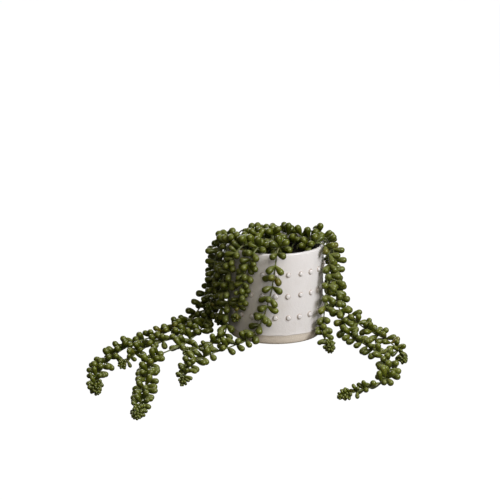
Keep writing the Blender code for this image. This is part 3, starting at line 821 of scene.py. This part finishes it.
def thickenStrands(plant, space):
    draw = random.Random(thickStrands["seed"])
    owners = list(plant)
    for name in thickStrands["names"]:
        way, leaves = plant[name]
        owner = owners.index(name)
        for attempt in range(thickStrands["attempts"]):
            base, forward = placeOn(way, draw.uniform(*thickStrands["stretch"]))
            side = np.cross(forward, (0.0, 1.0, 0.0))
            side /= np.linalg.norm(side)
            azimuth, lean = draw.uniform(0, math.tau), math.radians(draw.uniform(*thickStrands["lean"]))
            outward = math.cos(azimuth) * side + math.sin(azimuth) * np.cross(side, forward)
            size = draw.uniform(*thickStrands["size"])
            direction = math.cos(lean) * forward + math.sin(lean) * outward
            awayFromPot = direction[:2] @ base[:2] / np.linalg.norm(base[:2])
            leaf = (base, direction, growth["leafLength"] * size, growth["leafWidth"] * size)
            centres, radii = leafBalls(leaf)
            clear = clearOfPot(centres, radii) and space.admits(centres, radii, owner, thickStrands["crowding"])
            if clear and awayFromPot <= thickStrands["outMost"]:
                space.add(centres[1:], radii[1:], owner)
                leaves.append(leaf)


# Leaves and stems as meshes

leafShape = {
    "sides": 12,
    # share of the length, share of the width: a thin neck, a plump club and a round end
    "outline": ((0.0, 0.10), (0.04, 0.13), (0.12, 0.19), (0.25, 0.31), (0.40, 0.43), (0.55, 0.51),
                (0.68, 0.545), (0.78, 0.54), (0.87, 0.475), (0.94, 0.36), (0.98, 0.22)),
    "bend": 0.07,  # how far an end may swing aside, as a share of the length
    "flatness": 0.08,
    "lengths": (0.0070, 0.0095, 0.0120),  # of a leaf in a bud, a young one and a grown one
    "slimness": (0.80, 0.90, 1.0),  # of each, against the width that the solids have
    "paleness": (0.55, 0.85, 1.0),  # of each one's end
    "lieSlimness": 0.90,  # of a leaf on a stem that lies
    "seed": 23,
}

stemShape = {
    "sides": 8,
    "thick": 1.15,  # at the root, against the radius that the solids have
    "thin": 0.80,  # at the tip
    "swell": (0.08, 1.7),  # how much it swells and thins, and how fast from one point of its way to the next
}


def leafMesh(leaves, draw):
    # every leaf of one stem: points, faces, and for each point how far along its leaf it is and the leaf's tone
    shares, widths = np.array(leafShape["outline"]).T
    sides = leafShape["sides"]
    turns = np.arange(sides) * math.tau / sides
    oneLeaf = closedFaces(len(shares), sides)
    points, faces, along, tone = [], [], [], []
    for base, direction, length, width in leaves:
        width *= np.interp(length, leafShape["lengths"], leafShape["slimness"])
        if base[2] < growth["lieHeight"] + growth["lieMargin"]:
            width *= leafShape["lieSlimness"]
        side, up = across(direction)
        swing = draw.uniform(0, math.tau)
        bend = (math.cos(swing) * side + math.sin(swing) * up) * length * draw.uniform(0, leafShape["bend"])
        flat = 1 - draw.uniform(0, leafShape["flatness"])
        middles = (base - growth["leafSunk"] * direction + np.outer(shares * length, direction)
                   + np.outer(shares ** 2, bend))
        spokes = np.outer(np.cos(turns), side) + np.outer(np.sin(turns) * flat, up)
        rings = middles[:, None, :] + widths[:, None, None] * width * spokes[None, :, :]
        first = len(points)
        points += rings.reshape(-1, 3).tolist()
        points += [middles[0].tolist(), (middles[0] + length * direction + bend).tolist()]
        faces += [tuple(first + corner for corner in face) for face in oneLeaf]
        paleness = np.interp(length, leafShape["lengths"], leafShape["paleness"])
        along += (np.repeat(shares, sides) * paleness).tolist() + [0.0, paleness]
        tone += [draw.random()] * (len(points) - first)
    return points, faces, along, tone


def stemMesh(way):
    sides = stemShape["sides"]
    swell, swellTurn = stemShape["swell"]
    forward = np.gradient(way, axis=0)
    forward /= np.linalg.norm(forward, axis=1)[:, None]
    side = np.cross(forward[0], (0.0, 1.0, 0.0))
    points = []
    for number, (place, direction) in enumerate(zip(way, forward)):
        side = side - direction * (side @ direction)
        side /= np.linalg.norm(side)
        up = np.cross(direction, side)
        share = number / (len(way) - 1)
        radius = growth["stemRadius"] * (stemShape["thick"] + (stemShape["thin"] - stemShape["thick"]) * share)
        radius *= 1 + swell * math.sin(number * swellTurn)
        for turn in range(sides):
            angle = math.tau * turn / sides
            points.append((place + radius * (math.cos(angle) * side + math.sin(angle) * up)).tolist())
    faces = ringFaces(len(way), sides)
    faces.append(tuple(reversed(range(sides))))
    faces.append(tuple(range(len(points) - sides, len(points))))
    return points, faces


def buildStrand(name, way, leaves, draw):
    points, faces, along, tone = leafMesh(leaves, draw)
    leafFaces = len(faces)
    stemPoints, stemFaces = stemMesh(way)
    faces += [tuple(corner + len(points) for corner in face) for face in stemFaces]
    points += stemPoints
    along += [0.0] * len(stemPoints)
    tone += [draw.random()] * len(stemPoints)
    slots = [0] * leafFaces + [1] * len(stemFaces)
    return makePiece(name, points, faces, [skins["leaf"], skins["stem"]], slots,
                     {"alongLeaf": along, "leafTone": tone})


# Skins of leaves and stems, with noises and blends as for the glaze

leafPaint = {
    # tone of a leaf, from shaded old ones to young ones, and a few that redden
    "greens": ((0.0, (0.044, 0.056, 0.002)), (0.35, (0.064, 0.078, 0.003)), (0.75, (0.090, 0.107, 0.005)),
               (0.95, (0.118, 0.136, 0.010)), (1.0, (0.125, 0.092, 0.008))),
    "neck": (0.140, 0.168, 0.024),
    "end": (0.150, 0.172, 0.022),
    "paintedLitSide": (0.330, 0.360, 0.130),  # painted light: a paler colour on its upper side
    "mottle": (260.0, 4.0, 0.6),
    "pores": (900.0, 2.0, 0.5),
    "neckBlend": (0.0, 0.35, 0.55, 0.0),  # by the place along the leaf
    "endBlend": (0.55, 1.0, 0.0, 0.40),
    "paintedLitBlend": (0.40, 1.0, 0.0, 0.55),  # where the painted light comes in, by how far the surface faces up
    "underShade": (-0.8, 0.3, 0.48, 1.0),  # painted shade: its brightness, lower where the surface faces down
    "mottling": (0.3, 0.7, 0.84, 1.12),  # its brightness, by the mottle
    "rough": (0.35, 0.65, 0.25, 0.38),
    "gloss": 0.62,
    "glossTint": (0.95, 1.0, 0.72),
    "flesh": 0.12,  # share of the light that spreads in it
    "fleshReach": (0.5, 1.0, 0.15),  # of red, green and blue, against the depth
    "fleshDepth": 0.0015,
    "relief": (0.12, 0.0003),
}

stemPaint = {
    "fresh": (0.190, 0.225, 0.085),
    "woody": (0.135, 0.120, 0.060),
    "streaks": (180.0, 4.0, 0.6),
    "bark": (1400.0, 3.0, 0.5),
    "ageing": (0.42, 0.66),
    "rough": (0.3, 0.7, 0.48, 0.66),
    "relief": (0.3, 0.0003),
}


def leafSkin():
    made, tree, shader = startMaterial("leafSkin")
    place = objectPlace(tree)
    along = addNode(tree, "ShaderNodeAttribute", attribute_name="alongLeaf").outputs["Fac"]
    tone = addNode(tree, "ShaderNodeAttribute", attribute_name="leafTone").outputs["Fac"]
    mottle = noiseIn(tree, place, *leafPaint["mottle"])
    facing = addNode(tree, "ShaderNodeTexCoord").outputs["Normal"]
    upward = addNode(tree, "ShaderNodeSeparateXYZ", {"Vector": facing}).outputs["Z"]
    colour = colourRamp(tree, tone, leafPaint["greens"])
    colour = mixColours(tree, fromTo(tree, along, *leafPaint["neckBlend"]), colour, leafPaint["neck"])
    colour = mixColours(tree, fromTo(tree, along, *leafPaint["endBlend"]), colour, leafPaint["end"])
    # painted light and shade: paler where the surface faces up, darker where it faces down
    colour = mixColours(tree, fromTo(tree, upward, *leafPaint["paintedLitBlend"]), colour, leafPaint["paintedLitSide"])
    shade = addNode(tree, "ShaderNodeMath", {0: fromTo(tree, mottle, *leafPaint["mottling"]),
                                             1: fromTo(tree, upward, *leafPaint["underShade"])},
                    operation="MULTIPLY").outputs["Value"]
    grey = addNode(tree, "ShaderNodeCombineColor", {"Red": shade, "Green": shade, "Blue": shade})
    tree.links.new(mixColours(tree, 1.0, colour, grey.outputs["Color"], "MULTIPLY"), shader.inputs["Base Color"])
    tree.links.new(fromTo(tree, mottle, *leafPaint["rough"]), shader.inputs["Roughness"])
    shader.inputs["Specular IOR Level"].default_value = leafPaint["gloss"]
    shader.inputs["Specular Tint"].default_value = (*leafPaint["glossTint"], 1.0)
    shader.inputs["Subsurface Weight"].default_value = leafPaint["flesh"]
    shader.inputs["Subsurface Radius"].default_value = leafPaint["fleshReach"]
    shader.inputs["Subsurface Scale"].default_value = leafPaint["fleshDepth"]
    bumpFrom(tree, shader, noiseIn(tree, place, *leafPaint["pores"]), *leafPaint["relief"])
    return made


def stemSkin():
    made, tree, shader = startMaterial("stemSkin")
    place = objectPlace(tree)
    streak = noiseIn(tree, place, *stemPaint["streaks"])
    colour = mixColours(tree, fromTo(tree, streak, *stemPaint["ageing"]), stemPaint["fresh"], stemPaint["woody"])
    tree.links.new(colour, shader.inputs["Base Color"])
    tree.links.new(fromTo(tree, streak, *stemPaint["rough"]), shader.inputs["Roughness"])
    bumpFrom(tree, shader, noiseIn(tree, place, *stemPaint["bark"]), *stemPaint["relief"])
    return made


# Making the pieces

buildPot()
print("pot made")
buildSoil()
print("soil made")

skins = {"leaf": leafSkin(), "stem": stemSkin()}
plant, space = growPlant()
thickenStrands(plant, space)
growCrown(plant, space)
leafDraw = random.Random(leafShape["seed"])
for name, (way, leaves) in plant.items():
    piece = buildStrand(f"{name}_leafy", way, leaves, leafDraw)
    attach(piece, "root")
    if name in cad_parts:
        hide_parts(name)
print("plant made:", sum(len(leaves) for way, leaves in plant.values()), "leaves on", len(plant), "stems")


# Stage: a pale floor, a soft key light from the right, weak ones from the front and from behind, and a dim room

studio = {
    # degrees to the right of the camera, degrees up, power and tint
    "lamps": {
        "keyLight": (54, 36, 26.8, (1.0, 1.0, 1.0)),
        "fillLight": (5, 28, 7.6, (1.0, 0.93, 0.80)),
        "backLight": (192, 12, 8.0, (1.0, 1.0, 1.0)),
    },
    "aim": (-0.02, -0.05, 0.06),  # of all lamps
    "away": 1.7,
    "size": 0.8,
    "room": 0.01,  # light that comes from all around
    "white": 1.06,  # of the backdrop, as the camera sees it
    "floorTone": (0.245, 0.225, 0.185),  # what the floor throws back onto the pot
    "shadow": 0.05,  # how much of the shade on the floor the camera sees
    "floorReach": 4.0,
    "floorDrop": 0.0002,  # so that it doesn't cut into the pot's base
}


def addLamp(name, turn, rise, power, tint):
    turn, rise = math.radians(turn), math.radians(rise)
    toward = Vector((math.sin(turn) * math.cos(rise), -math.cos(turn) * math.cos(rise), math.sin(rise)))
    lamp = bpy.data.objects.new(name, bpy.data.lights.new(name, "AREA"))
    lamp.data.energy = power
    lamp.data.color = tint
    lamp.data.size = studio["size"]
    lamp.location = Vector(studio["aim"]) + toward * studio["away"]
    lamp.rotation_euler = (-toward).to_track_quat("-Z", "Y").to_euler()
    bpy.context.scene.collection.objects.link(lamp)


def lightStudio():
    for name, settings in studio["lamps"].items():
        addLamp(name, *settings)
    world = bpy.data.worlds.new("studio")
    bpy.context.scene.world = world
    world.use_nodes = True
    tree = world.node_tree
    back = tree.nodes["Background"]
    seen = addNode(tree, "ShaderNodeLightPath").outputs["Is Camera Ray"]
    strength = addNode(tree, "ShaderNodeMapRange", {"Value": seen, "To Min": studio["room"],
                                                    "To Max": studio["white"]})
    tree.links.new(strength.outputs["Result"], back.inputs["Strength"])
    back.inputs["Color"].default_value = (1.0, 1.0, 1.0, 1.0)


def layFloor():
    made, tree, shader = startMaterial("paleFloor")
    shader.inputs["Base Color"].default_value = (*studio["floorTone"], 1.0)
    shader.inputs["Roughness"].default_value = 1.0
    shader.inputs["Specular IOR Level"].default_value = 0.0
    seen = addNode(tree, "ShaderNodeLightPath").outputs["Is Camera Ray"]
    paper = addNode(tree, "ShaderNodeEmission", {"Strength": studio["white"]})
    shaded = addNode(tree, "ShaderNodeBsdfDiffuse", {"Color": (1.0, 1.0, 1.0, 1.0)})
    pale = addNode(tree, "ShaderNodeMixShader", {0: studio["shadow"], 1: paper.outputs[0], 2: shaded.outputs[0]})
    shown = addNode(tree, "ShaderNodeMixShader", {0: seen, 1: shader.outputs[0], 2: pale.outputs[0]})
    tree.links.new(shown.outputs[0], tree.nodes["Material Output"].inputs["Surface"])
    reach = studio["floorReach"]
    corners = [(x * reach, y * reach, 0.0) for x, y in ((-1, -1), (1, -1), (1, 1), (-1, 1))]
    floor = makePiece("floor", corners, [(0, 1, 2, 3)], [made])
    floor.location.z = -studio["floorDrop"]


lightStudio()
layFloor()
bpy.context.scene.view_settings.view_transform = "Standard"
print("studio lit")
